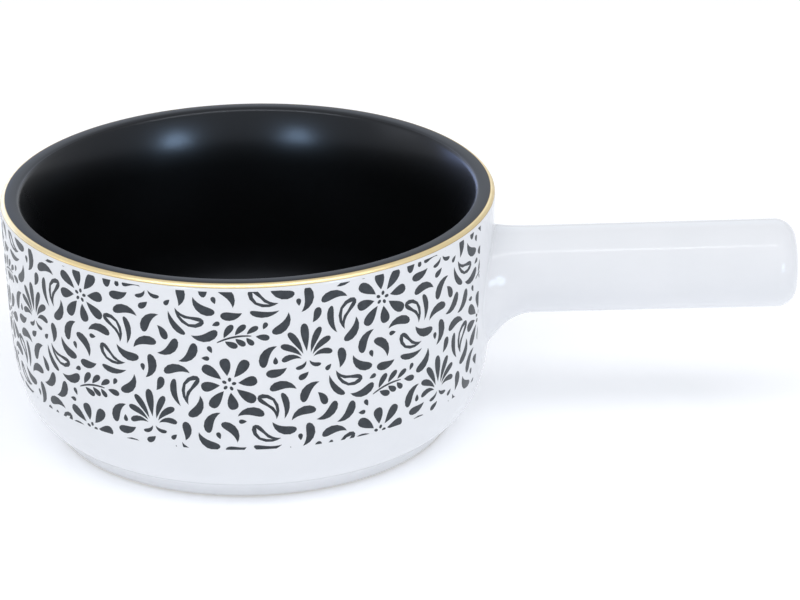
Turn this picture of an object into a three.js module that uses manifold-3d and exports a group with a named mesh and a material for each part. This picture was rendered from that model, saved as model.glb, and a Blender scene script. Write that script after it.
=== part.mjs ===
// Fondue pot (caquelon) of glazed stoneware with one hollow stick handle.
// Millimetres, +Z up. The origin is the centre of the flat base and the handle points along +X.
import * as THREE from 'three';
import { mergeVertices } from 'three/addons/utils/BufferGeometryUtils.js';
import Module from 'manifold-3d';

const wasm = await Module();
wasm.setup();

const degrees = THREE.MathUtils.degToRad;

// Bowl, measured on the glazed surface
const rimRadius = 110;
const potHeight = 109;
const wallLean = degrees(1.76);
const rimOuterRound = 2.8;
const floorThickness = 10.5;
const floorCornerWidth = 27;
const floorCornerHeight = 36;

// Lip and mouth: the rim's top slopes inward to a small round, and the inside flares out to meet it
const lipWidth = 7.2;
const lipSlope = degrees(11);
const lipRound = 2;
const mouthFlare = degrees(25);
const mouthRound = 63;

// Belly: the wall leaves its straight run and curls in to a crease above the foot
const bellyTop = 63.5;
const bellyTuck = 16.9;
const bellyUpperPull = 22.4;
const bellyLowerPull = 14.2;
const bellyEndSlope = degrees(17.7);

// Foot, ground flat and bare of glaze at its lower edge
const footHeight = 7.7;
const footTaper = 3.9;
const bareFootHeight = 1;
const footChamfer = 0.8;

// Handle, measured on the glazed surface along its own axis from the wall
const handleBelowRim = 39.2;
const handleTilt = degrees(1.86);
const handleLength = 136.2;
const handleTipRadius = 19.7;
const handleNeckRadius = 19.5;
const handleTipRound = 9.5;
const handleTipDome = 1;
const handleWall = 6.5;
const handleEndWall = 9;
const ventDiameter = 4;
const ventFromWall = 32;

// Flared root: a hollow arc, then a straight flank, that swells mostly downward on its way into the wall
const flareStart = 16;
const flareArcRadius = 19.2;
const flareArcSweep = degrees(40);
const flareSwellRatio = 0.61;
const flareSagRatio = 0.51;

// Coats and joints
const glazeThickness = 0.5;
const goldThickness = 0.15;
const printThickness = 0.15;
const slipThickness = 0.6;
const coatClearance = 0.1;
const seatClearance = 0.3;

// Decoration
const glazeMeetingAngle = degrees(56);
const goldLowerAngle = degrees(27);
const printBottom = 31;
const printBelowRim = 3.2;
const printGapAngle = degrees(19);

// Facets
const bowlSegments = 48;
const handleSegments = 28;
const ventSegments = 12;
const bellySteps = 8;
const cornerSteps = 6;
const rimSteps = 2;
const mouthSteps = 3;
const flareSteps = 4;
const tipSteps = 4;

const bodyInset = glazeThickness + coatClearance;

function point(r, z) {
  return new THREE.Vector2(r, z);
}

function arc(r, z, radiusR, radiusZ, from, to, steps) {
  return new THREE.EllipseCurve(r, z, radiusR, radiusZ, from, to, to < from).getPoints(steps);
}

// An outline moved to the left of its direction by an even distance; points on the axis stay on it
function offset(points, distance) {
  const normals = points.slice(1).map((end, i) => {
    const along = end.clone().sub(points[i]).normalize();
    return point(-along.y, along.x);
  });
  return points.map((p, i) => {
    const before = normals[Math.max(i - 1, 0)];
    const after = normals[Math.min(i, normals.length - 1)];
    const mitre = before.clone().add(after).multiplyScalar(distance / (1 + before.dot(after)));
    return point(p.x === 0 ? 0 : p.x + mitre.x, p.y + mitre.y);
  });
}

// The stretch of a rising outline between two heights
function between(points, low, high) {
  const at = (z) => {
    const i = points.findIndex((p, k) => k > 0 && p.y >= z);
    const share = (z - points[i - 1].y) / (points[i].y - points[i - 1].y);
    return points[i - 1].clone().lerp(points[i], share);
  };
  return [at(low), ...points.filter((p) => p.y > low && p.y < high), at(high)];
}

// A closed section: an outline and the same outline set back by two distances
function band(points, near, far) {
  const outer = offset(points, near);
  return [...outer, ...offset(points, far).reverse(), outer[0].clone()];
}

// Bowl section from the foot up the outside, over the rim and down the inside to the axis
const wallOuterTop = potHeight - rimOuterRound;
const floorCornerTop = floorThickness + floorCornerHeight;
const outerRadiusAt = (z) => rimRadius - (wallOuterTop - z) * Math.tan(wallLean);

const creaseRadius = rimRadius - bellyTuck;
const footSlope = footTaper / footHeight;
const footRadiusAt = (z) => creaseRadius - (footHeight - z) * footSlope;
const bellyTopRadius = outerRadiusAt(bellyTop);
const belly = new THREE.CubicBezierCurve(
  point(creaseRadius, footHeight),
  point(
    creaseRadius + bellyLowerPull * Math.cos(bellyEndSlope),
    footHeight + bellyLowerPull * Math.sin(bellyEndSlope),
  ),
  point(
    bellyTopRadius - bellyUpperPull * Math.sin(wallLean),
    bellyTop - bellyUpperPull * Math.cos(wallLean),
  ),
  point(bellyTopRadius, bellyTop),
).getPoints(bellySteps);

const rimOuterArc = (from, to) =>
  arc(rimRadius - rimOuterRound, wallOuterTop, rimOuterRound, rimOuterRound, from, to, rimSteps);
const lipRadius = rimRadius - lipWidth;
const lipRun = lipWidth - rimOuterRound + lipRound * Math.sin(lipSlope);
const lipHeight = potHeight - lipRun * Math.tan(lipSlope) - lipRound * Math.cos(lipSlope);
const lipArc = arc(
  lipRadius, lipHeight, lipRound, lipRound, Math.PI / 2 + lipSlope, Math.PI - mouthFlare, rimSteps,
);
const mouthRadius = lipRadius + (mouthRound - lipRound) * Math.cos(mouthFlare);
const mouthHeight = lipHeight - (mouthRound - lipRound) * Math.sin(mouthFlare);
const mouthArc = arc(
  mouthRadius, mouthHeight, mouthRound, mouthRound, Math.PI - mouthFlare, Math.PI - wallLean, mouthSteps,
);
const mouthEnd = mouthArc[mouthSteps];
const innerRadiusAt = (z) => mouthEnd.x - (mouthEnd.y - z) * Math.tan(wallLean);
const floorCornerRadius = innerRadiusAt(floorCornerTop) - floorCornerWidth;
const floorCorner = arc(
  floorCornerRadius, floorCornerTop, floorCornerWidth, floorCornerHeight, 0, -Math.PI / 2, cornerSteps,
);

const meetingHalfGap = seatClearance / rimOuterRound / 2;
const lowerRimArc = rimOuterArc(0, goldLowerAngle);
const coveredRimArc = rimOuterArc(goldLowerAngle, glazeMeetingAngle - meetingHalfGap);
const upperRimArc = rimOuterArc(glazeMeetingAngle + meetingHalfGap, Math.PI / 2);
const whiteOutline = [
  point(footRadiusAt(bareFootHeight), bareFootHeight),
  ...belly,
  ...lowerRimArc,
  ...coveredRimArc.slice(1),
];
const blackOutline = [
  ...upperRimArc,
  ...lipArc,
  ...mouthArc.slice(1),
  ...floorCorner,
  point(0, floorThickness),
];
const goldOutline = [...coveredRimArc, ...upperRimArc];
const bowlOutline = [...whiteOutline, ...blackOutline];

function revolve(points) {
  return new THREE.LatheGeometry(points, bowlSegments).rotateX(Math.PI / 2);
}

// Closed solid of a geometry, ready for joins and cuts
function solid(geometry) {
  const bare = geometry.clone();
  bare.deleteAttribute('normal');
  bare.deleteAttribute('uv');
  const merged = mergeVertices(bare, 1e-4);
  const index = merged.index.array;
  const corners = [];
  for (let i = 0; i < index.length; i += 3) {
    const [a, b, c] = index.subarray(i, i + 3);
    if (a !== b && b !== c && c !== a) corners.push(a, b, c);
  }
  return new wasm.Manifold(new wasm.Mesh({
    numProp: 3,
    vertProperties: new Float32Array(merged.attributes.position.array),
    triVerts: new Uint32Array(corners),
  }));
}

function geometryOf(body) {
  const { vertProperties, triVerts } = body.getMesh();
  const geometry = new THREE.BufferGeometry();
  geometry.setAttribute('position', new THREE.BufferAttribute(new Float32Array(vertProperties), 3));
  geometry.setIndex(new THREE.BufferAttribute(new Uint32Array(triVerts), 1));
  geometry.computeVertexNormals();
  return geometry;
}

// Everything inside the bowl's outside, set back from the glazed surface by a distance
function filledBowl(inset) {
  const outline = offset(whiteOutline, inset);
  const bottom = point(0, outline[0].y);
  const top = point(0, outline[outline.length - 1].y);
  return solid(revolve([bottom, ...outline, top]));
}

// Handle section from inside the wall, along the flare and the shaft, round the tip to its axis
const handleHeight = potHeight - handleBelowRim;
const handleSeatRadius = outerRadiusAt(handleHeight);
const flareArcReach = flareArcRadius * Math.sin(flareArcSweep);
const flareGrowth = (s) => {
  const reach = Math.max(flareStart - s, 0);
  const arcReach = Math.min(reach, flareArcReach);
  const flank = (reach - arcReach) * Math.tan(flareArcSweep);
  return flareArcRadius - Math.sqrt(flareArcRadius ** 2 - arcReach ** 2) + flank;
};
const onFlare = (s) => point(handleNeckRadius + flareSwellRatio * flareGrowth(s), s);
const flare = arc(0, 0, 1, 1, flareArcSweep, 0, flareSteps)
  .map((p) => onFlare(flareStart - flareArcRadius * p.y));
const tipCentre = handleLength - handleTipDome - handleTipRound;
const tip = arc(
  handleTipRadius - handleTipRound, tipCentre, handleTipRound, handleTipRound, 0, Math.PI / 2, tipSteps,
);
const rootEnd = -lipWidth * 2;
const handleOutline = [
  point(0, rootEnd),
  onFlare(rootEnd),
  ...flare,
  ...tip,
  point(0, handleLength),
];

// Turned about the handle's axis, sagging with the flare and seated on the wall
function alongHandle(points, sags) {
  const geometry = new THREE.LatheGeometry(points, handleSegments).rotateZ(-Math.PI / 2);
  const position = geometry.attributes.position;
  for (let i = 0; sags && i < position.count; i += 1) {
    position.setZ(i, position.getZ(i) - flareSagRatio * flareGrowth(position.getX(i)));
  }
  return geometry.rotateY(-handleTilt).translate(handleSeatRadius, 0, handleHeight);
}

// The whole handle as one solid, set back from the glazed surface and sunk towards the bowl
function stick(inset, sunk = 0) {
  return solid(alongHandle(offset(handleOutline, inset), true).translate(-sunk, 0, 0));
}

// Hollow of the cast handle, open towards the wall, and its vent underneath
const boreRadius = handleNeckRadius - bodyInset - handleWall;
const boreEnd = handleLength - handleEndWall;
const bore = solid(alongHandle([
  point(0, rootEnd),
  point(boreRadius, rootEnd),
  ...arc(0, boreEnd - boreRadius, boreRadius, boreRadius, 0, Math.PI / 2, tipSteps),
], false));

function vent(widening) {
  const reach = handleNeckRadius * 2;
  const radius = ventDiameter / 2 + widening;
  const pin = new THREE.CylinderGeometry(radius, radius, reach, ventSegments).rotateX(Math.PI / 2);
  return solid(pin.translate(ventFromWall, 0, -reach / 2).rotateY(-handleTilt)
    .translate(handleSeatRadius, 0, handleHeight));
}

// Stoneware bowl with its flat ground base
const bowlInside = offset(bowlOutline, bodyInset);
const footFace = footRadiusAt(0) - bodyInset - footChamfer;
const bowlBody = revolve([
  point(0, 0),
  point(footFace, 0),
  point(footRadiusAt(footChamfer) - bodyInset, footChamfer),
  ...bowlInside,
]);

// Hollow handle, its root cut to the curve of the wall and bedded on a ring of slip
const slipNear = bodyInset - coatClearance;
const slipFar = slipNear - slipThickness;
const handleSeat = slipFar - coatClearance;
const rootSink = slipThickness + coatClearance;
const handleBody = stick(bodyInset).subtract(bore).subtract(filledBowl(handleSeat)).subtract(vent(0));
const slipRing = stick(bodyInset, rootSink)
  .subtract(bore)
  .intersect(filledBowl(slipFar))
  .subtract(filledBowl(slipNear));

// Glaze coats: white outside, black inside and over the rim
const whiteGlaze = solid(revolve(band(whiteOutline, 0, glazeThickness)))
  .subtract(stick(-seatClearance, rootSink));
const handleGlaze = stick(0)
  .subtract(stick(glazeThickness))
  .subtract(filledBowl(-seatClearance))
  .subtract(vent(seatClearance));
const blackGlaze = revolve([...offset(blackOutline, glazeThickness).reverse(), ...blackOutline]);

// Gold line on the rim's outer round, over the line where the two glazes meet
const goldLine = revolve(band(goldOutline, -coatClearance - goldThickness, -coatClearance));

// Printed transfer: one strip wrapped round the wall, with a gap of plain wall at the handle
const printOutline = between(whiteOutline, printBottom, potHeight - printBelowRim);
const gapReach = rimRadius * 2;
const gapHalfWidth = gapReach * Math.tan(printGapAngle);
const gapWedge = new THREE.ExtrudeGeometry(
  new THREE.Shape([point(0, 0), point(gapReach, -gapHalfWidth), point(gapReach, gapHalfWidth)]),
  { depth: potHeight, bevelEnabled: false },
);
const printStrip = solid(revolve(band(printOutline, -coatClearance - printThickness, -coatClearance)))
  .subtract(solid(gapWedge));

const stoneware = { color: '#cfc4b2', roughness: 0.85, metalness: 0 };
const slip = { color: '#c4b8a4', roughness: 0.9, metalness: 0 };
const white = { color: '#eceef2', roughness: 0.12, metalness: 0 };
const black = { color: '#1b1c1e', roughness: 0.42, metalness: 0 };
const gold = { color: '#e2cf9e', roughness: 0.25, metalness: 1 };
const charcoal = { color: '#8f9397', roughness: 0.3, metalness: 0 };

const pot = new THREE.Group();
pot.name = 'fondue_pot';

function piece(name, geometry, finish) {
  const mesh = new THREE.Mesh(geometry, new THREE.MeshStandardMaterial(finish));
  mesh.name = name;
  pot.add(mesh);
}

piece('bowl_body', bowlBody, stoneware);
piece('handle_body', geometryOf(handleBody), stoneware);
piece('luting_slip', geometryOf(slipRing), slip);
piece('inner_glaze', blackGlaze, black);
piece('outer_glaze', geometryOf(whiteGlaze), white);
piece('handle_glaze', geometryOf(handleGlaze), white);
piece('gold_line', goldLine, gold);
piece('printed_transfer', geometryOf(printStrip), charcoal);

export default pot;
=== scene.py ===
"""Stoneware fondue pot with one stick handle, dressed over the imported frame.

The bowl's axis is Z, the handle points along +X, and everything is in metres.
"""
from bisect import bisect_left
from collections import defaultdict
from functools import lru_cache
from math import atan2, cos, dist, hypot, pi, radians, sin, sqrt, tan
from typing import NamedTuple

import bmesh
import bpy
from mathutils import Matrix, Vector


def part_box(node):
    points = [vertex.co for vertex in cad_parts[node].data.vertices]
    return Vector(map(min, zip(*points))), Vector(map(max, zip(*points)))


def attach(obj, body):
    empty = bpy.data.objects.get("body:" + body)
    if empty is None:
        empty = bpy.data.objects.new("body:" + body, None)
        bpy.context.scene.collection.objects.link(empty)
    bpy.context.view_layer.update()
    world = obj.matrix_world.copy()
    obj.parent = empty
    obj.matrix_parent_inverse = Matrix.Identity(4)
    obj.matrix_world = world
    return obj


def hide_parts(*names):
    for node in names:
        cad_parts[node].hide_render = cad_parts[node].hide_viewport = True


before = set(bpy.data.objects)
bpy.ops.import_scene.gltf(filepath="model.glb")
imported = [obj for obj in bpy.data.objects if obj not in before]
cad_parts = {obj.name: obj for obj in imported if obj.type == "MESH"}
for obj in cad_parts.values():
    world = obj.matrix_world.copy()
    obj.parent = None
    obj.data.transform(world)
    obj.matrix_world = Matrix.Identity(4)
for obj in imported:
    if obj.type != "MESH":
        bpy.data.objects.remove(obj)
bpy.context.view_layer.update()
MM = 0.001

# Sizes that the frame gives
RIM_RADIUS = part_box("outer_glaze")[1].y
POT_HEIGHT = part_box("inner_glaze")[1].z
PRINT_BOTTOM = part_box("printed_transfer")[0].z
PRINT_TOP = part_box("printed_transfer")[1].z

# Bowl, on the glazed surface
WALL_LEAN = radians(1.76)
RIM_OUTER_ROUND = 2.8 * MM
LIP_CROWN = 12 * MM
LIP_OUTER_TILT = radians(12)
LIP_INNER_TILT = radians(8)
LIP_ROUND = 3.4 * MM
MOUTH_FLARE = radians(25)
MOUTH_ROUND = 63 * MM
FLOOR_THICKNESS = 10.5 * MM
FLOOR_CORNER_WIDTH = 27 * MM
FLOOR_CORNER_HEIGHT = 36 * MM
BELLY_TOP = 63.5 * MM
BELLY_TUCK = 16.9 * MM
BELLY_UPPER_PULL = 22.4 * MM
BELLY_LOWER_PULL = 14.2 * MM
BELLY_END_SLOPE = radians(17.7)
FOOT_HEIGHT = 7.7 * MM
FOOT_TAPER = 3.9 * MM
BARE_FOOT = 1 * MM
FOOT_CHAMFER = 0.8 * MM
CREASE_POOL = 4 * MM

# Bowl sizes that follow from these
CROWN_RISE = (LIP_CROWN - RIM_OUTER_ROUND) * (1 - cos(LIP_OUTER_TILT))
WALL_TOP = POT_HEIGHT - RIM_OUTER_ROUND - CROWN_RISE
RIM_CENTRE = (RIM_RADIUS - RIM_OUTER_ROUND, WALL_TOP)
CREASE = (RIM_RADIUS - BELLY_TUCK, FOOT_HEIGHT)
FOOT_SLOPE = FOOT_TAPER / FOOT_HEIGHT
FLOOR_CORNER_TOP = FLOOR_THICKNESS + FLOOR_CORNER_HEIGHT

# Handle, on the glazed surface, along its own axis from the wall
HANDLE_HEIGHT = POT_HEIGHT - 39.2 * MM
HANDLE_TILT = radians(1.86)
HANDLE_LENGTH = 136.2 * MM
TIP_RADIUS = 19.7 * MM
NECK_RADIUS = 19.5 * MM
TIP_ROUND = 9.5 * MM
TIP_DOME = 1 * MM
TIP_START = HANDLE_LENGTH - TIP_DOME - TIP_ROUND
VENT_FROM_WALL = 32 * MM
VENT_RADIUS = 2.3 * MM
FLARE_START = 18 * MM
FLARE_ARC = 22 * MM
FLARE_SWEEP = radians(45)
FLARE_SWELL = 0.6
FLARE_SAG = 0.5
ROOT_POOL = 1.2 * MM

# Coats
GLAZE = 0.5 * MM
BODY_INSET = 0.6 * MM
GLAZE_MEETING = radians(56)
DRY_LIP_STARTS_BELOW = 0.8 * MM
DRY_LIP_FULL_BELOW = 0.3 * MM
GOLD_FILM = 0.05 * MM
GOLD_LOWER = radians(27)
GOLD_UPPER = radians(78)
# Width of the gold band's darker amber edges: part thin film, part painted dark reflection
GOLD_DARK_EDGE_WIDTH = 0.35 * MM
INK_FILM = 0.04 * MM
INK_DEPTH = 0.8 * INK_FILM
PRINT_GAP = radians(19)

# Meshing
BOWL_STEPS = 192
HANDLE_STEPS = 96
SHARP_EDGE = radians(35)
TOUCHING = 0.001 * MM


# Outlines, as lists of radius and height

def arc(centre, radius, start, end, steps, rise=None):
    """Points on a circle between two angles, or on an ellipse where rise is its upright radius."""
    rise = rise or radius
    angles = [start + (end - start) * i / steps for i in range(steps + 1)]
    return [(centre[0] + radius * cos(a), centre[1] + rise * sin(a)) for a in angles]


def toward(start, angle, distance):
    return start[0] + distance * cos(angle), start[1] + distance * sin(angle)


def between(a, b, share):
    return tuple(p + (q - p) * share for p, q in zip(a, b))


def straight(a, b, steps):
    """Points on a straight line, without its first one."""
    return [between(a, b, i / steps) for i in range(1, steps + 1)]


def bezier(points, steps):
    """Points on a Bezier curve, by repeated shares between its control points."""
    made = []
    for i in range(steps + 1):
        level = list(points)
        while len(level) > 1:
            level = [between(a, b, i / steps) for a, b in zip(level, level[1:])]
        made.append(level[0])
    return made


def inset(outline, distance):
    """The outline moved to the left of its direction, with points on the axis kept there."""
    normals = []
    for (r0, z0), (r1, z1) in zip(outline, outline[1:]):
        length = hypot(r1 - r0, z1 - z0)
        normals.append(((z0 - z1) / length, (r1 - r0) / length))
    moved = []
    for i, (r, z) in enumerate(outline):
        a = normals[max(i - 1, 0)]
        b = normals[min(i, len(normals) - 1)]
        reach = distance / (1 + a[0] * b[0] + a[1] * b[1])
        moved.append((r + (a[0] + b[0]) * reach if r > 0 else 0, z + (a[1] + b[1]) * reach))
    return moved


def foot_radius(z):
    return CREASE[0] - (FOOT_HEIGHT - z) * FOOT_SLOPE


def leaning_radius(top_radius, top, z):
    """Radius at a height of a wall that leans out to a known radius at its top."""
    return top_radius - (top - z) * tan(WALL_LEAN)


def white_outline():
    """From the glaze's lower edge up the foot, belly and wall to where the black glaze begins."""
    belly_end = (leaning_radius(RIM_RADIUS, WALL_TOP, BELLY_TOP), BELLY_TOP)
    belly = bezier([
        CREASE,
        toward(CREASE, BELLY_END_SLOPE, BELLY_LOWER_PULL),
        toward(belly_end, pi / 2 - WALL_LEAN, -BELLY_UPPER_PULL),
        belly_end,
    ], steps=40)
    after_crease = next(i for i, p in enumerate(belly) if dist(p, CREASE) > CREASE_POOL)
    before_crease = (foot_radius(FOOT_HEIGHT - CREASE_POOL), FOOT_HEIGHT - CREASE_POOL)
    lower_edge = (foot_radius(BARE_FOOT), BARE_FOOT)
    foot = [lower_edge, between(lower_edge, before_crease, 0.5)]
    pool = bezier([before_crease, CREASE, belly[after_crease]], steps=5)
    wall = straight(belly_end, (RIM_RADIUS, WALL_TOP), steps=14)
    rim = arc(RIM_CENTRE, RIM_OUTER_ROUND, 0, GLAZE_MEETING, steps=6)
    return foot + pool + belly[after_crease + 1:] + wall + rim[1:]


def black_outline():
    """From the rim's outer round over the domed lip and down the flared mouth to the floor."""
    outer_end = pi / 2 - LIP_OUTER_TILT
    crown_end = pi / 2 + LIP_INNER_TILT
    lip_end = pi - MOUTH_FLARE
    outer = arc(RIM_CENTRE, RIM_OUTER_ROUND, GLAZE_MEETING, outer_end, steps=5)
    crown_centre = toward(outer[-1], outer_end, -LIP_CROWN)
    crown = arc(crown_centre, LIP_CROWN, outer_end, crown_end, steps=8)
    lip_centre = toward(crown[-1], crown_end, -LIP_ROUND)
    lip = arc(lip_centre, LIP_ROUND, crown_end, lip_end, steps=8)
    mouth_centre = toward(lip[-1], -MOUTH_FLARE, MOUTH_ROUND)
    mouth = arc(mouth_centre, MOUTH_ROUND, lip_end, pi - WALL_LEAN, steps=12)
    wall_end = (leaning_radius(*mouth[-1], FLOOR_CORNER_TOP), FLOOR_CORNER_TOP)
    wall = straight(mouth[-1], wall_end, steps=8)[:-1]
    corner_centre = (wall_end[0] - FLOOR_CORNER_WIDTH, FLOOR_CORNER_TOP)
    corner = arc(corner_centre, FLOOR_CORNER_WIDTH, 0, -pi / 2, steps=24, rise=FLOOR_CORNER_HEIGHT)
    floor = straight(corner[-1], (0, FLOOR_THICKNESS), steps=6)
    return outer + crown[1:] + lip[1:] + mouth[1:] + wall + corner + floor


WHITE = white_outline()
BLACK = black_outline()
WALL_HEIGHTS = [z for r, z in WHITE]


def wall_radius(z):
    """Radius of the white surface at a height."""
    i = min(max(bisect_left(WALL_HEIGHTS, z), 1), len(WHITE) - 1)
    (r0, z0), (r1, z1) = WHITE[i - 1], WHITE[i]
    return r0 + (r1 - r0) * (z - z0) / (z1 - z0)


# Mesh helpers

def spun(outline, axis, steps):
    """A sheet turned about X or Z through the origin, with its poles and its seam closed."""
    upright = axis == "Z"
    bm = bmesh.new()
    verts = [bm.verts.new((r, 0, s) if upright else (s, 0, r)) for r, s in outline]
    edges = [bm.edges.new(pair) for pair in zip(verts, verts[1:])]
    turn = {"cent": (0, 0, 0), "axis": (0, 0, 1) if upright else (1, 0, 0), "angle": 2 * pi}
    bmesh.ops.spin(bm, geom=verts + edges, steps=steps, use_merge=True, **turn)
    bmesh.ops.remove_doubles(bm, verts=bm.verts, dist=TOUCHING)
    bmesh.ops.recalc_face_normals(bm, faces=bm.faces)
    return bm


def thicken(bm, thickness):
    """Gives a sheet its wall, on the side away from its normals."""
    bmesh.ops.solidify(bm, geom=bm.faces[:], thickness=thickness)


def to_object(bm, name):
    """Puts a finished bmesh into the scene, with its place in its mesh."""
    mesh = bpy.data.meshes.new(name)
    bm.to_mesh(mesh)
    bm.free()
    made = bpy.data.objects.new(name, mesh)
    bpy.context.collection.objects.link(made)
    return made


def finish_piece(bm, name, material, node):
    """Makes the object, smooth but for its sharp edges, and ties it to the frame."""
    piece = to_object(bm, name)
    piece.data.materials.append(material)
    piece.data.shade_smooth()
    piece.data.set_sharp_from_angle(angle=SHARP_EDGE)
    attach(piece, "root")
    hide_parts(node)
    return piece


# Materials

# Sockets of a Mix node that mixes colours
MIX_SHARE, MIX_FIRST, MIX_SECOND = 0, 6, 7
MIX_RESULT = 2


def linear(hex_colour):
    """An sRGB hex colour as linear RGBA."""
    parts = [int(hex_colour[i:i + 2], 16) / 255 for i in (1, 3, 5)]
    return [c / 12.92 if c <= 0.04045 else ((c + 0.055) / 1.055) ** 2.4 for c in parts] + [1]


def feed(tree, node, inputs):
    """Fills a node's inputs, each with a value, a hex colour or the socket that drives it."""
    for key, value in inputs.items():
        if isinstance(value, bpy.types.NodeSocket):
            tree.links.new(value, node.inputs[key])
        elif isinstance(value, str):
            node.inputs[key].default_value = linear(value)
        else:
            node.inputs[key].default_value = value


def add(tree, kind, inputs, **settings):
    """Adds a node with its settings and its inputs."""
    made = tree.nodes.new(kind)
    for name, value in settings.items():
        setattr(made, name, value)
    feed(tree, made, inputs)
    return made


def surface(name):
    """A new material with its node tree, its shader and its Object coordinates."""
    material = bpy.data.materials.new(name)
    material.use_nodes = True
    tree = material.node_tree
    shader = tree.nodes["Principled BSDF"]
    place = tree.nodes.new("ShaderNodeTexCoord").outputs["Object"]
    return material, tree, shader, place


def white_glaze():
    """Opaque white gloss glaze: glassy, faintly rippled, thin and warm at its lower edge."""
    material, tree, shader, place = surface("white_gloss_glaze")
    cloud = add(tree, "ShaderNodeTexNoise", {"Vector": place, "Scale": 1 / (24 * MM), "Detail": 2})
    body = add(tree, "ShaderNodeMix", {
        MIX_SHARE: cloud.outputs["Fac"], MIX_FIRST: "#ebecef", MIX_SECOND: "#e5e7ea",
    }, data_type="RGBA")
    height = add(tree, "ShaderNodeSeparateXYZ", {"Vector": place})
    thin = add(tree, "ShaderNodeMapRange", {
        "Value": height.outputs["Z"], "From Min": 0.8 * MM, "From Max": 2.4 * MM,
        "To Min": 0.15, "To Max": 0,
    })
    colour = add(tree, "ShaderNodeMix", {
        MIX_SHARE: thin.outputs["Result"],
        MIX_FIRST: body.outputs[MIX_RESULT], MIX_SECOND: "#d8cdbb",
    }, data_type="RGBA")
    gloss = add(tree, "ShaderNodeTexNoise", {"Vector": place, "Scale": 1 / (9 * MM), "Detail": 3})
    rough = add(tree, "ShaderNodeMapRange", {
        "Value": gloss.outputs["Fac"], "To Min": 0.05, "To Max": 0.1,
    })
    ripple = add(tree, "ShaderNodeTexNoise", {"Vector": place, "Scale": 1 / (5 * MM), "Detail": 2})
    bump = add(tree, "ShaderNodeBump", {
        "Height": ripple.outputs["Fac"], "Strength": 0.5, "Distance": 0.05 * MM,
    })
    feed(tree, shader, {
        "Base Color": colour.outputs[MIX_RESULT], "Roughness": rough.outputs["Result"],
        "Normal": bump.outputs["Normal"], "IOR": 1.5, "Specular IOR Level": 0.12,
    })
    return material


def black_glaze():
    """Black satin glaze: even, with a fine eggshell tooth, and dry where it thins on the lip."""
    material, tree, shader, place = surface("black_satin_glaze")
    cloud = add(tree, "ShaderNodeTexNoise", {"Vector": place, "Scale": 1 / (14 * MM), "Detail": 3})
    colour = add(tree, "ShaderNodeMix", {
        MIX_SHARE: cloud.outputs["Fac"], MIX_FIRST: "#040506", MIX_SECOND: "#08090b",
    }, data_type="RGBA")
    satin = add(tree, "ShaderNodeMapRange", {
        "Value": cloud.outputs["Fac"], "To Min": 0.22, "To Max": 0.28,
    })
    height = add(tree, "ShaderNodeSeparateXYZ", {"Vector": place})
    rough = add(tree, "ShaderNodeMapRange", {
        "Value": height.outputs["Z"],
        "From Min": POT_HEIGHT - DRY_LIP_STARTS_BELOW, "From Max": POT_HEIGHT - DRY_LIP_FULL_BELOW,
        "To Min": satin.outputs["Result"], "To Max": 0.55,
    })
    tooth = add(tree, "ShaderNodeTexNoise", {"Vector": place, "Scale": 1 / (0.9 * MM), "Detail": 3})
    bump = add(tree, "ShaderNodeBump", {
        "Height": tooth.outputs["Fac"], "Strength": 0.35, "Distance": 0.04 * MM,
    })
    feed(tree, shader, {
        "Base Color": colour.outputs[MIX_RESULT], "Roughness": rough.outputs["Result"],
        "Normal": bump.outputs["Normal"], "IOR": 1.38, "Specular Tint": "#dbe4f4",
        "Coat Weight": 0.45, "Coat Roughness": 0.42, "Coat IOR": 1.35,
    })
    return material


def gold_lustre():
    """Fired gold lustre, banded on by brush: a pale metal film, amber at its edges, partly where
    the film thins and partly a painted dark reflection.
    """
    material, tree, shader, place = surface("gold_lustre")
    streak = add(tree, "ShaderNodeTexNoise", {"Vector": place, "Scale": 1 / (6 * MM), "Detail": 4})
    film = add(tree, "ShaderNodeMix", {
        MIX_SHARE: streak.outputs["Fac"], MIX_FIRST: "#f3e2b6", MIX_SECOND: "#e8cf98",
    }, data_type="RGBA")
    # Both edges of the band are painted a darker amber: partly the lustre thinning, partly a
    # painted dark reflection
    dark_edge_ramp = {"To Min": 0.8, "To Max": 0}
    low = WALL_TOP + RIM_OUTER_ROUND * sin(GOLD_LOWER)
    height = add(tree, "ShaderNodeSeparateXYZ", {"Vector": place})
    low_edge = add(tree, "ShaderNodeMapRange", {
        "Value": height.outputs["Z"],
        "From Min": low, "From Max": low + GOLD_DARK_EDGE_WIDTH, **dark_edge_ramp,
    })
    high = RIM_RADIUS - RIM_OUTER_ROUND * (1 - cos(GOLD_UPPER))
    flat = add(tree, "ShaderNodeVectorMath", {0: place, 1: (1, 1, 0)}, operation="MULTIPLY")
    radius = add(tree, "ShaderNodeVectorMath", {0: flat.outputs["Vector"]}, operation="LENGTH")
    high_edge = add(tree, "ShaderNodeMapRange", {
        "Value": radius.outputs["Value"],
        "From Min": high, "From Max": high + GOLD_DARK_EDGE_WIDTH, **dark_edge_ramp,
    })
    thin = add(tree, "ShaderNodeMath", {
        0: low_edge.outputs["Result"], 1: high_edge.outputs["Result"],
    }, operation="MAXIMUM")
    # a07c3c is the amber of the edges: thin film together with a painted darker reflection
    colour = add(tree, "ShaderNodeMix", {
        MIX_SHARE: thin.outputs["Value"],
        MIX_FIRST: film.outputs[MIX_RESULT], MIX_SECOND: "#a07c3c",
    }, data_type="RGBA")
    rough = add(tree, "ShaderNodeMapRange", {
        "Value": streak.outputs["Fac"], "To Min": 0.3, "To Max": 0.42,
    })
    feed(tree, shader, {
        "Base Color": colour.outputs[MIX_RESULT], "Roughness": rough.outputs["Result"],
        "Metallic": 1,
    })
    return material


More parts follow.
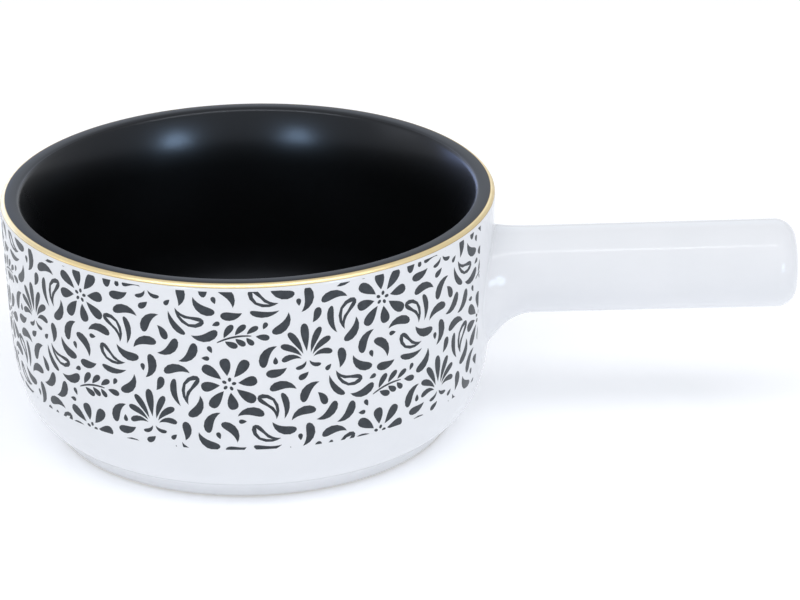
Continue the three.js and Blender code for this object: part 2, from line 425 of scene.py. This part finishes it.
def transfer_ink():
    """Charcoal transfer ink fired on the glaze: dense, slightly mottled, duller than the glaze."""
    material, tree, shader, place = surface("charcoal_transfer_ink")
    mottle = add(tree, "ShaderNodeTexNoise", {
        "Vector": place, "Scale": 1 / (2.2 * MM), "Detail": 4,
    })
    colour = add(tree, "ShaderNodeMix", {
        MIX_SHARE: mottle.outputs["Fac"], MIX_FIRST: "#1a1f24", MIX_SECOND: "#3f454c",
    }, data_type="RGBA")
    rough = add(tree, "ShaderNodeMapRange", {
        "Value": mottle.outputs["Fac"], "To Min": 0.26, "To Max": 0.4,
    })
    feed(tree, shader, {
        "Base Color": colour.outputs[MIX_RESULT], "Roughness": rough.outputs["Result"],
        "IOR": 1.5, "Specular IOR Level": 0.35,
    })
    return material


def bare_stoneware(name, light, dark):
    """Unglazed fired stoneware: dry, gritty and buff, with darker specks of grog."""
    material, tree, shader, place = surface(name)
    cloud = add(tree, "ShaderNodeTexNoise", {"Vector": place, "Scale": 1 / (7 * MM), "Detail": 5})
    body = add(tree, "ShaderNodeMix", {
        MIX_SHARE: cloud.outputs["Fac"], MIX_FIRST: light, MIX_SECOND: dark,
    }, data_type="RGBA")
    grog = add(tree, "ShaderNodeTexVoronoi", {"Vector": place, "Scale": 1 / (2.4 * MM)})
    speck = add(tree, "ShaderNodeMapRange", {
        "Value": grog.outputs["Distance"], "From Min": 0.1, "From Max": 0.2,
        "To Min": 0.7, "To Max": 0,
    })
    colour = add(tree, "ShaderNodeMix", {
        MIX_SHARE: speck.outputs["Result"],
        MIX_FIRST: body.outputs[MIX_RESULT], MIX_SECOND: "#8a7760",
    }, data_type="RGBA")
    grit = add(tree, "ShaderNodeTexNoise", {"Vector": place, "Scale": 1 / (0.7 * MM), "Detail": 4})
    bump = add(tree, "ShaderNodeBump", {
        "Height": grit.outputs["Fac"], "Strength": 0.5, "Distance": 0.1 * MM,
    })
    feed(tree, shader, {
        "Base Color": colour.outputs[MIX_RESULT], "Normal": bump.outputs["Normal"],
        "Roughness": 0.85,
    })
    return material


def floor_acrylic():
    """Matt white acrylic of a lit studio table, with the faintest mottling."""
    material, tree, shader, place = surface("white_table_acrylic")
    mottle = add(tree, "ShaderNodeTexNoise", {"Vector": place, "Scale": 1 / (60 * MM), "Detail": 3})
    colour = add(tree, "ShaderNodeMix", {
        MIX_SHARE: mottle.outputs["Fac"], MIX_FIRST: "#f9fafc", MIX_SECOND: "#f6f7f9",
    }, data_type="RGBA")
    feed(tree, shader, {
        "Base Color": colour.outputs[MIX_RESULT], "Roughness": 0.9, "Specular IOR Level": 0.1,
        "Emission Color": colour.outputs[MIX_RESULT], "Emission Strength": 0.18,
    })
    return material


# Handle surface

def flare_growth(s):
    """How far the flare's hollow arc and straight flank have risen at a distance from the wall."""
    reach = max(FLARE_START - s, 0)
    arc_reach = min(reach, FLARE_ARC * sin(FLARE_SWEEP))
    flank = (reach - arc_reach) * tan(FLARE_SWEEP)
    return FLARE_ARC - sqrt(FLARE_ARC ** 2 - arc_reach ** 2) + flank


def shaft_radius(s):
    share = max(s - FLARE_START, 0) / (TIP_START - FLARE_START)
    return NECK_RADIUS + (TIP_RADIUS - NECK_RADIUS) * share + FLARE_SWELL * flare_growth(s)


HANDLE_SEAT = leaning_radius(RIM_RADIUS, WALL_TOP, HANDLE_HEIGHT)
HANDLE_LIFT = Matrix.Rotation(-HANDLE_TILT, 4, "Y")
HANDLE_PLACE = Matrix.Translation((HANDLE_SEAT, 0, HANDLE_HEIGHT)) @ HANDLE_LIFT


def on_handle(s, radius, around):
    """A point beside the handle's axis; the angle around it starts at the top."""
    sag = FLARE_SAG * flare_growth(s)
    return HANDLE_PLACE @ Vector((s, radius * sin(around), radius * cos(around) - sag))


def on_shaft(s, around):
    """A point on the surface of the shaft and its flare."""
    return on_handle(s, shaft_radius(s), around)


@lru_cache(maxsize=None)
def root_seam(around):
    """The distance along the handle where its surface meets the wall, found by halving."""
    low, high = -FLARE_ARC / 2, FLARE_START
    for _ in range(40):
        s = (low + high) / 2
        p = on_shaft(s, around)
        if hypot(p.x, p.y) < wall_radius(p.z):
            low = s
        else:
            high = s
    return high


def on_wall_beyond(corner, distance):
    """The point on the wall further from the handle's middle than a point on its seam."""
    angle = atan2(corner.y, corner.x)
    across = angle * HANDLE_SEAT
    rise = corner.z - HANDLE_HEIGHT
    share = distance / hypot(across, rise)
    z = corner.z + rise * share
    angle += across * share / HANDLE_SEAT
    return Vector((wall_radius(z) * cos(angle), wall_radius(z) * sin(angle), z))


def root_point(share, around):
    """Along the flare, then round a pool of glaze in the corner; share is 1 on the wall."""
    flare_share = 0.8
    seam = root_seam(around)
    corner = on_shaft(seam, around)
    step = 0.1 * MM
    stretch = (on_shaft(seam + step, around) - corner).length / step
    pool_start = seam + ROOT_POOL / stretch
    if share <= flare_share:
        return on_shaft(FLARE_START + (pool_start - FLARE_START) * share / flare_share, around)
    start = on_shaft(pool_start, around)
    t = (share - flare_share) / (1 - flare_share)
    return start.lerp(corner, t).lerp(corner.lerp(on_wall_beyond(corner, ROOT_POOL), t), t)


def handle_outline():
    """From the wall along the shaft and round the tip to the axis, as radius and distance."""
    tip_centre = (TIP_RADIUS - TIP_ROUND, TIP_START)
    tip_depth = TIP_DOME + TIP_ROUND
    dome = (tip_centre[0] ** 2 + tip_depth ** 2 - TIP_ROUND ** 2) / (2 * TIP_DOME)
    tip_end = pi / 2 - atan2(tip_centre[0], dome - tip_depth)
    neck = (NECK_RADIUS, FLARE_START)
    root = [(NECK_RADIUS, 0)] + straight((NECK_RADIUS, 0), neck, steps=30)[:-1]
    shaft = [neck] + straight(neck, (TIP_RADIUS, TIP_START), steps=24)[:-1]
    tip = arc(tip_centre, TIP_ROUND, 0, tip_end, steps=12)
    cap = arc((0, HANDLE_LENGTH - dome), dome, tip_end, pi / 2, steps=6)
    return root + shaft + tip + cap[1:-1] + [(0, HANDLE_LENGTH)]


# Pieces

def make_bowl_body():
    under_glaze = inset(WHITE + BLACK[1:], BODY_INSET)
    base = [
        (0, 0),
        (foot_radius(0) - BODY_INSET - FOOT_CHAMFER, 0),
        (foot_radius(FOOT_CHAMFER) - BODY_INSET, FOOT_CHAMFER),
    ]
    bm = spun(base + under_glaze, "Z", BOWL_STEPS)
    clay = bare_stoneware("pale_stoneware", "#efebe4", "#e6e0d6")
    finish_piece(bm, "stoneware_bowl", clay, "bowl_body")


def under_handle(face):
    """True for the patch of wall that the handle's root covers."""
    p = face.calc_center_median()
    return p.x > 0 and hypot(p.y, p.z - HANDLE_HEIGHT) < NECK_RADIUS


def make_white_glaze(material):
    bm = spun(WHITE, "Z", BOWL_STEPS)
    covered = [f for f in bm.faces if under_handle(f)]
    bmesh.ops.delete(bm, geom=covered, context="FACES")
    thicken(bm, GLAZE)
    finish_piece(bm, "white_glaze_bowl", material, "outer_glaze")


def drill_vent(piece):
    """Cuts the vent hole through the coat under the handle."""
    bm = bmesh.new()
    sizes = {"radius1": VENT_RADIUS, "radius2": VENT_RADIUS, "depth": NECK_RADIUS}
    bmesh.ops.create_cone(bm, cap_ends=True, segments=32, **sizes)
    below = Matrix.Translation((VENT_FROM_WALL, 0, -NECK_RADIUS))
    bmesh.ops.transform(bm, verts=bm.verts, matrix=HANDLE_PLACE @ below)
    drill = to_object(bm, "vent_drill")
    cut = piece.modifiers.new("vent", "BOOLEAN")
    cut.object = drill
    drilled = piece.evaluated_get(bpy.context.evaluated_depsgraph_get())
    piece.data = bpy.data.meshes.new_from_object(drilled)
    piece.modifiers.clear()
    bpy.data.objects.remove(drill)


def make_handle_glaze(material):
    bm = spun(handle_outline(), "X", HANDLE_STEPS)
    for v in bm.verts:
        s = v.co.x
        around = round(atan2(v.co.y, v.co.z), 6)
        if s < FLARE_START - TOUCHING:
            v.co = root_point(1 - s / FLARE_START, around)
        else:
            v.co = on_handle(s, hypot(v.co.y, v.co.z), around)
    bmesh.ops.recalc_face_normals(bm, faces=bm.faces)
    thicken(bm, GLAZE)
    drill_vent(finish_piece(bm, "white_glaze_handle", material, "handle_glaze"))


def make_black_glaze():
    bm = spun(BLACK, "Z", BOWL_STEPS)
    thicken(bm, GLAZE)
    finish_piece(bm, "black_glaze_inside", black_glaze(), "inner_glaze")


def make_gold_line():
    line = arc(RIM_CENTRE, RIM_OUTER_ROUND + GOLD_FILM, GOLD_LOWER, GOLD_UPPER, steps=8)
    bm = spun(line, "Z", BOWL_STEPS)
    thicken(bm, GOLD_FILM)
    finish_piece(bm, "gold_rim_line", gold_lustre(), "gold_line")


# Printed decoration: brush strokes laid flat, repeated, scaled and wrapped round the wall

BAND_LENGTH = (2 * pi - 2 * PRINT_GAP) * RIM_RADIUS
BAND_HEIGHT = PRINT_TOP - PRINT_BOTTOM
DRAWING_SCALE = 1.33 * MM
REPEATS = 9
REPEAT_WIDTH = BAND_LENGTH / REPEATS / DRAWING_SCALE
REPEAT_HEIGHT = 48
STROKE_GAP = 1.1
STROKE_MERGE = 1e-4
TRIM_TOLERANCE = 1e-7

# A bare eye in a stroke: shares of the stroke's length, then its width and how blunt its ends are
EYE_START = 0.36
EYE_LENGTH = 0.48
EYE_WIDTH = 1.5
EYE_BLUNTNESS = 0.7

# Side lobes of a palmette: lean, length, width and curl, in degrees and in shares of its reach
PALMETTE_LOBES = ((24, 0.84, 0.21, 22), (50, 0.74, 0.21, 44), (82, 0.62, 0.19, 80))

# Loose strokes that fill the gaps: length, width and curl in degrees
LOOSE_STROKES = ((9.5, 3.1, 95), (7.2, 3, 60), (5.5, 2.6, 50), (4, 2.1, 40), (2.6, 1.6, 0))

# Where loose strokes are tried: evenly spread places, with a few turns in degrees at each
TRIED_PLACES = 220
TRIED_TURNS = 6
STEP_ACROSS = 0.754878
STEP_UP = 0.569840
TURN_BY_PLACE = 137.5
TURN_BY_TRY = 60
SEARCH_CELL = 8


class Stroke(NamedTuple):
    """A brush stroke from its thin tail to its round head, bent by an angle."""
    x: float
    y: float
    heading: float
    length: float
    width: float
    bend: float = 0
    tail: float = 1
    head: float = 0.5
    has_eye: bool = False


def centre_line(stroke, t):
    """Place, direction and half width of a stroke at a share of its length from the tail."""
    x, y = stroke.x, stroke.y
    turn = stroke.heading + stroke.bend * t
    if stroke.bend:
        x += stroke.length / stroke.bend * (sin(turn) - sin(stroke.heading))
        y -= stroke.length / stroke.bend * (cos(turn) - cos(stroke.heading))
    else:
        x += stroke.length * t * cos(stroke.heading)
        y += stroke.length * t * sin(stroke.heading)
    peak = stroke.tail / (stroke.tail + stroke.head)
    swell = (max(t, 0) / peak) ** stroke.tail
    taper = (max(1 - t, 0) / (1 - peak)) ** stroke.head
    return x, y, turn, stroke.width / 2 * swell * taper


def beside(x, y, turn, ahead, aside):
    """The point ahead of a place in a direction, and to the left of it."""
    return x + ahead * cos(turn) - aside * sin(turn), y + ahead * sin(turn) + aside * cos(turn)


def rosette(x, y, turn, reach):
    """Round flower of eight petals, long and short in turn, about five seeds."""
    strokes = []
    for i in range(8):
        a = turn + i * pi / 4
        long = 0.74 if i % 2 else 0.62
        strokes.append(Stroke(
            x + 0.3 * reach * cos(a), y + 0.3 * reach * sin(a), heading=a - radians(8),
            length=long * reach, width=0.35 * reach, bend=radians(16), head=0.42,
        ))
    for i in range(5):
        a = turn + i * 2 * pi / 5
        seed = 0.09 * reach
        strokes.append(Stroke(
            x + seed * cos(a), y + seed * sin(a), heading=a,
            length=0.15 * reach, width=0.11 * reach, tail=0.5,
        ))
    return strokes


def palmette(x, y, turn, reach):
    """Upright fan of seven lobes over two small curls."""
    ends = {"tail": 1.1, "head": 0.45}
    strokes = [Stroke(
        *beside(x, y, turn, 0.2 * reach, 0), heading=turn,
        length=0.9 * reach, width=0.25 * reach, **ends,
    )]
    for side in (1, -1):
        for k, (lean, long, wide, curl) in enumerate(PALMETTE_LOBES):
            fan = turn + side * radians(40 + 25 * k)
            strokes.append(Stroke(
                x + 0.18 * reach * cos(fan), y + 0.18 * reach * sin(fan),
                heading=turn + side * radians(lean - 0.4 * curl),
                length=long * reach, width=wide * reach, bend=side * radians(curl), **ends,
            ))
        strokes.append(Stroke(
            *beside(x, y, turn, -0.1 * reach, 0.05 * reach * side),
            heading=turn + side * radians(165),
            length=0.42 * reach, width=0.13 * reach, bend=-side * radians(95),
        ))
    return strokes


def plume(x, y, turn, flip, size):
    """Curled leaf with a bare eye, and a plain leaf beside it."""
    return [
        Stroke(
            x, y, heading=turn, length=size, width=0.33 * size,
            bend=flip * radians(105), tail=1.1, head=0.45, has_eye=True,
        ),
        Stroke(
            *beside(x, y, turn, 0.06 * size, -0.22 * size * flip),
            heading=turn - flip * radians(10),
            length=0.85 * size, width=0.19 * size, bend=flip * radians(60),
        ),
    ]


def sprig(x, y, turn, flip, size):
    """Curved stem with three pairs of leaves and one at its end."""
    bend = flip * radians(40)
    stem = {"heading": turn, "width": 0.05 * size, "tail": 0.3, "head": 0.3}
    whole = Stroke(x, y, length=size, bend=bend, **stem)
    strokes = [Stroke(x, y, length=0.9 * size, bend=0.9 * bend, **stem)]
    for i in range(3):
        cx, cy, a, _ = centre_line(whole, 0.18 + 0.28 * i)
        for side in (1, -1):
            lean, long = (60, 0.34) if side == flip else (46, 0.42)
            out = a + side * radians(lean)
            strokes.append(Stroke(
                *beside(cx, cy, out, 0.06 * size, 0), heading=out,
                length=(long - 0.04 * i) * size, width=(0.17 - 0.012 * i) * size,
                bend=-side * radians(26), tail=0.9,
            ))
    cx, cy, a, _ = centre_line(whole, 1)
    strokes.append(Stroke(cx, cy, heading=a, length=0.34 * size, width=0.17 * size, tail=0.9))
    return strokes


def repeat_shifts(columns, rows):
    """Places of the repeat: every other column is half a repeat higher."""
    places = [(i, j + (i % 2) / 2) for i in columns for j in rows]
    return [(i * REPEAT_WIDTH, j * REPEAT_HEIGHT) for i, j in places]


def fill_gaps(strokes):
    """Adds loose leaves and drops, large ones first, wherever one fits clear of its neighbours."""
    near = defaultdict(list)

    def discs(stroke):
        spots = [centre_line(stroke, i / 8) for i in range(9)]
        return [(x, y, half) for x, y, turn, half in spots]

    def take(stroke):
        for x, y, half in discs(stroke):
            for dx, dy in repeat_shifts(range(-2, 3), range(-2, 3)):
                px, py = x + dx, y + dy
                near[int(px // SEARCH_CELL), int(py // SEARCH_CELL)].append((px, py, half))

    def fits(stroke):
        for x, y, half in discs(stroke):
            i, j = int(x // SEARCH_CELL), int(y // SEARCH_CELL)
            for key in ((i + a, j + b) for a in (-1, 0, 1) for b in (-1, 0, 1)):
                for px, py, other in near[key]:
                    if hypot(x - px, y - py) < half + other + STROKE_GAP:
                        return False
        return True

    for stroke in strokes:
        take(stroke)
    added = []
    for long, wide, curl in LOOSE_STROKES:
        for k in range(TRIED_PLACES):
            x = k * STEP_ACROSS % 1 * REPEAT_WIDTH
            y = k * STEP_UP % 1 * REPEAT_HEIGHT
            for n in range(TRIED_TURNS):
                heading = radians(TURN_BY_PLACE * k + TURN_BY_TRY * n)
                bend = radians(curl) if (k + n) % 2 else -radians(curl)
                stroke = Stroke(x, y, heading, long, wide, bend)
                if fits(stroke):
                    take(stroke)
                    added.append(stroke)
                    break
    return added


def lay_stroke(bm, stroke):
    """A flat patch for one stroke; a stroke with an eye loses the strip along its middle."""
    strips = 3 if stroke.has_eye else 2
    patch = bmesh.ops.create_grid(bm, x_segments=9, y_segments=strips, size=1)["verts"]
    if stroke.has_eye:
        faces = {f for v in patch for f in v.link_faces}
        middle = [f for f in faces if abs(f.calc_center_median().y) < 0.1]
        bmesh.ops.delete(bm, geom=middle, context="FACES")
        patch = [v for v in patch if v.is_valid]
    for v in patch:
        t = (1 - cos(pi * (v.co.x + 1) / 2)) / 2
        x, y, turn, half = centre_line(stroke, t)
        aside = v.co.y
        on_edge = abs(aside) > 0.9
        if not on_edge:
            opening = min(max((t - EYE_START) / EYE_LENGTH, 0), 1)
            eye = EYE_WIDTH * sin(pi * opening) ** EYE_BLUNTNESS
            aside = aside * eye if stroke.has_eye else 0
        v.co = (x - half * aside * sin(turn), y + half * aside * cos(turn), 0)
    bmesh.ops.remove_doubles(bm, verts=patch, dist=STROKE_MERGE)


def make_print(name, strokes, material):
    """Repeats the strokes over the band, trims them at its edges and wraps them round the wall."""
    bm = bmesh.new()
    for stroke in strokes:
        lay_stroke(bm, stroke)
    first = bm.verts[:] + bm.edges[:] + bm.faces[:]
    for dx, dy in repeat_shifts(range(-1, REPEATS + 1), range(-1, 3)):
        copy = bmesh.ops.duplicate(bm, geom=first)["geom"]
        verts = [g for g in copy if isinstance(g, bmesh.types.BMVert)]
        bmesh.ops.translate(bm, verts=verts, vec=(dx, dy, 0))
    bmesh.ops.delete(bm, geom=first, context="VERTS")
    bmesh.ops.scale(bm, verts=bm.verts, vec=(DRAWING_SCALE,) * 3)
    trims = (
        ((0, 0, 0), (-1, 0, 0)),
        ((0, 0, 0), (0, -1, 0)),
        ((BAND_LENGTH, 0, 0), (1, 0, 0)),
        ((0, BAND_HEIGHT, 0), (0, 1, 0)),
    )
    for edge, outward in trims:
        geom = bm.verts[:] + bm.edges[:] + bm.faces[:]
        plane = {"plane_co": edge, "plane_no": outward}
        bmesh.ops.bisect_plane(bm, geom=geom, dist=TRIM_TOLERANCE, clear_outer=True, **plane)
    for v in bm.verts:
        angle = PRINT_GAP + v.co.x / RIM_RADIUS
        z = PRINT_BOTTOM + v.co.y
        radius = wall_radius(z) + INK_FILM
        v.co = (radius * cos(angle), radius * sin(angle), z)
    bm.normal_update()
    thicken(bm, INK_DEPTH)
    finish_piece(bm, name, material, "printed_transfer")


def make_decoration():
    ink = transfer_ink()
    blossoms = rosette(0, 0, radians(10), 10) + palmette(25.5, 8, radians(95), 11)
    leaves = (
        sprig(-3.5, 14.5, radians(30), -1, 13)
        + plume(-13.5, -8, radians(120), -1, 12)
        + plume(35, 2, radians(-75), 1, 11.5)
        + plume(15, -13, radians(75), 1, 11.5)
        + plume(16.5, 28, radians(200), -1, 11.5)
    )
    make_print("print_blossoms", blossoms, ink)
    make_print("print_leaves", leaves, ink)
    make_print("print_drops", fill_gaps(blossoms + leaves), ink)


def dress_frame_nodes():
    """Gives the two nodes that stay as the frame has them their clay."""
    clay = bare_stoneware("buff_cast_stoneware", "#d3c7b3", "#c2b49c")
    slip = bare_stoneware("luting_slip_stoneware", "#c9bca6", "#b9ab93")
    for name, material in (("handle_body", clay), ("luting_slip", slip)):
        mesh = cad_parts[name].data
        mesh.materials.clear()
        mesh.materials.append(material)


# Studio

CAMERA_PLACE = (0.12527, -1.44348, 0.68386)
CAMERA_TURN = radians(2.308)
CAMERA_DIP = radians(23.534)
CAMERA_ROLL = radians(-0.638)
CAMERA_LENS = 157.5
CAMERA_SENSOR = 36
FLOOR_HALF_SIDE = 4
LIGHT_TARGET = Vector((0.05, 0, 0.06))
COOL_GLEAM = "#c4e0fa"


def make_camera():
    data = bpy.data.cameras.new("photo_camera")
    data.sensor_width = CAMERA_SENSOR
    data.lens = CAMERA_LENS
    camera = bpy.data.objects.new("photo_camera", data)
    turn = Matrix.Rotation(CAMERA_TURN, 4, "Z")
    dip = Matrix.Rotation(pi / 2 - CAMERA_DIP, 4, "X")
    roll = Matrix.Rotation(CAMERA_ROLL, 4, "Z")
    camera.matrix_world = Matrix.Translation(CAMERA_PLACE) @ turn @ dip @ roll
    bpy.context.collection.objects.link(camera)
    bpy.context.scene.camera = camera


def softbox(name, place, size, watts, colour="#ffffff", shape="RECTANGLE",
            fills=False, shines=True):
    """An area light aimed at the pot; it fills the shades, shines as a highlight, or does both."""
    data = bpy.data.lights.new(name, "AREA")
    data.shape = shape
    data.size, data.size_y = size
    data.energy = watts
    data.color = linear(colour)[:3]
    lamp = bpy.data.objects.new(name, data)
    facing = (LIGHT_TARGET - Vector(place)).to_track_quat("-Z", "Y").to_matrix().to_4x4()
    lamp.matrix_world = Matrix.Translation(place) @ facing
    lamp.visible_diffuse = fills
    lamp.visible_glossy = shines
    lamp.visible_camera = False
    bpy.context.collection.objects.link(lamp)


def make_floor():
    bm = bmesh.new()
    bmesh.ops.create_grid(bm, x_segments=1, y_segments=1, size=FLOOR_HALF_SIDE)
    floor = to_object(bm, "studio_floor")
    floor.data.materials.append(floor_acrylic())


def make_studio():
    """A pale table in even light; all but the top softbox are there for their gleams alone."""
    world = bpy.data.worlds.new("studio")
    world.use_nodes = True
    sky = world.node_tree.nodes["Background"]
    feed(world.node_tree, sky, {"Color": "#f7f9fd", "Strength": 0.8})
    bpy.context.scene.world = world
    bpy.context.scene.view_settings.view_transform = "Standard"
    softbox("top_softbox", (0.1, -0.6, 1.55), (2.4, 0.6), 9, fills=True, shines=False)
    softbox("top_strip", (0.1, -0.6, 1.5), (2.4, 0.12), 11)
    softbox("back_softbox", (-0.2, 1.4, 0.8), (2.2, 0.8), 4.2, "#d6e5fb")
    softbox("left_back_softbox", (-1.05, 1.2, 0.3), (1.3, 0.5), 4, "#9fbcff")
    softbox("left_side_softbox", (-1.1, -0.1, 0.6), (0.5, 0.5), 0.6)
    softbox("left_low_softbox", (-0.57, -1.37, 0.25), (0.36, 0.5), 8.6, COOL_GLEAM, "ELLIPSE")
    softbox("right_low_softbox", (1.03, -1.08, 0.23), (0.36, 0.6), 11.8, COOL_GLEAM, "ELLIPSE")
    make_floor()


def main():
    make_camera()
    make_studio()
    white = white_glaze()
    make_bowl_body()
    make_white_glaze(white)
    make_handle_glaze(white)
    make_black_glaze()
    make_gold_line()
    make_decoration()
    dress_frame_nodes()


main()
